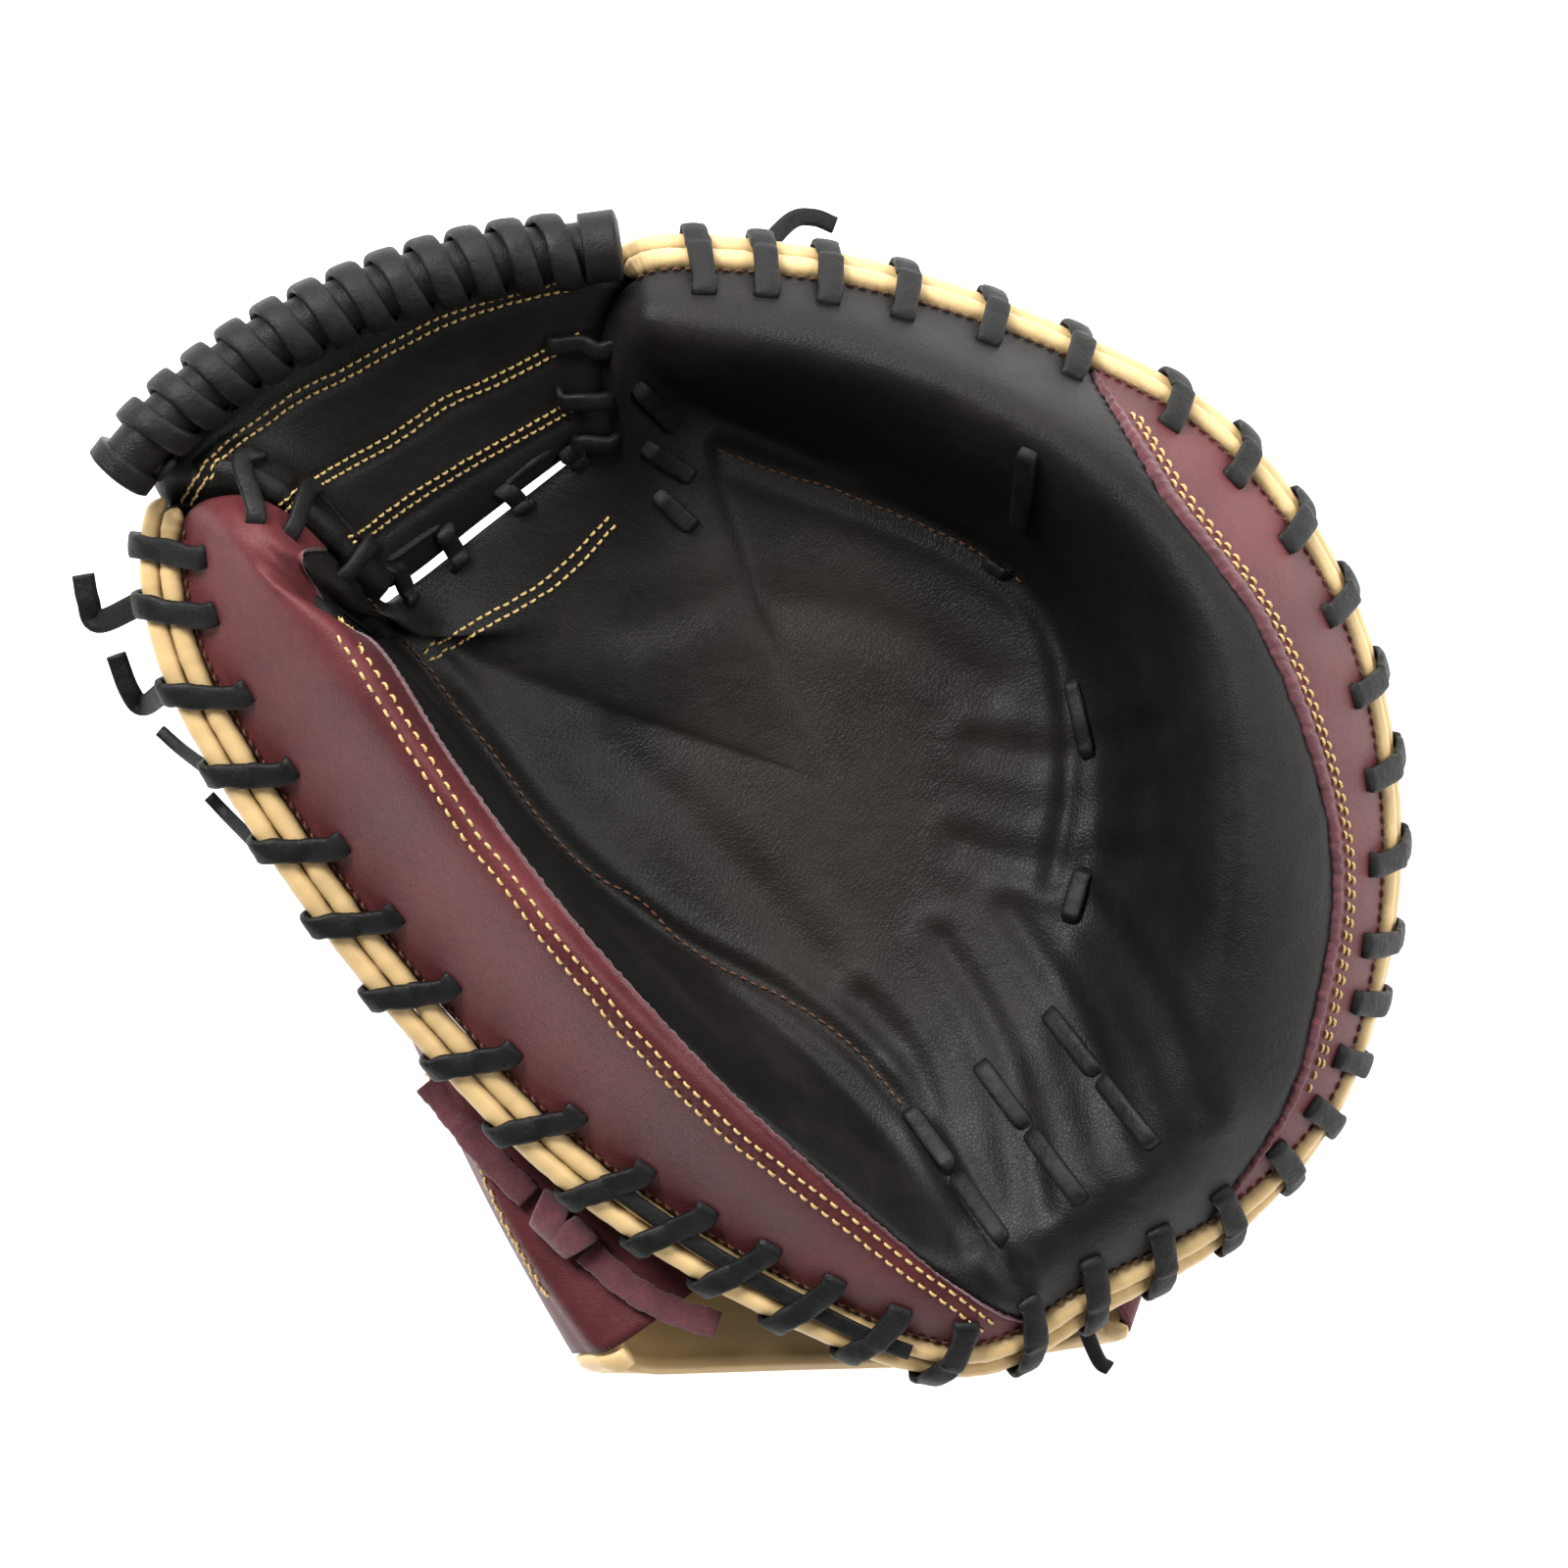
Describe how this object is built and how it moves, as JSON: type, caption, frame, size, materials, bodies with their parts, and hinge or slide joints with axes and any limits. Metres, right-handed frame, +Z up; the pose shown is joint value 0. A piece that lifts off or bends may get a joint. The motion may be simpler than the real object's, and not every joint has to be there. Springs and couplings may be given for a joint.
{
  "type": "catcher's mitt",
  "caption": "Padded catcher's mitt in black leather with maroon thumb and finger panels, cream piping, laced rim and web, wrist strap, and open wrist and back of the hand.",
  "frame": {"origin": "on the surface the mitt lies on, under the middle of its box", "axes": "X across the mitt from the thumb side to the little finger side, Y from the heel to the finger tips, Z up out of the pocket"},
  "size_m": [0.325, 0.2864, 0.1227],
  "materials": {
    "black_leather": "satin grain",
    "maroon_leather": "satin grain",
    "cream_leather": "satin",
    "lace_leather": "matt rawhide"
  },
  "bodies": {
    "root": {"palm": "black_leather", "thumb_panel": "maroon_leather", "finger_panel": "maroon_leather", "piping_front": "cream_leather", "piping_back": "cream_leather", "edge_lace": "lace_leather", "back_fingers": "black_leather", "back_thumb": "black_leather", "back_heel": "black_leather", "web": "black_leather", "web_roll": "black_leather", "roll_lace": "lace_leather", "thumb_web_lace": "lace_leather", "finger_web_lace": "lace_leather", "palm_web_lace": "lace_leather", "heel_lace_1": "lace_leather", "heel_lace_2": "lace_leather", "heel_lace_3": "lace_leather", "finger_lace_1": "lace_leather", "finger_lace_2": "lace_leather", "finger_lace_3": "lace_leather", "finger_lace_4": "lace_leather", "index_lace_1": "lace_leather", "index_lace_2": "lace_leather", "index_lace_3": "lace_leather", "wrist_strap": "maroon_leather", "strap_lining": "cream_leather", "thumb_tail_1": "lace_leather", "thumb_tail_2": "lace_leather", "side_tail_1": "lace_leather", "side_tail_2": "lace_leather", "top_tail": "lace_leather", "heel_tail": "lace_leather", "tie_tail_upper": "maroon_leather", "tie_tail_lower": "maroon_leather", "tie_knot": "maroon_leather"}
  },
  "joints": []
}
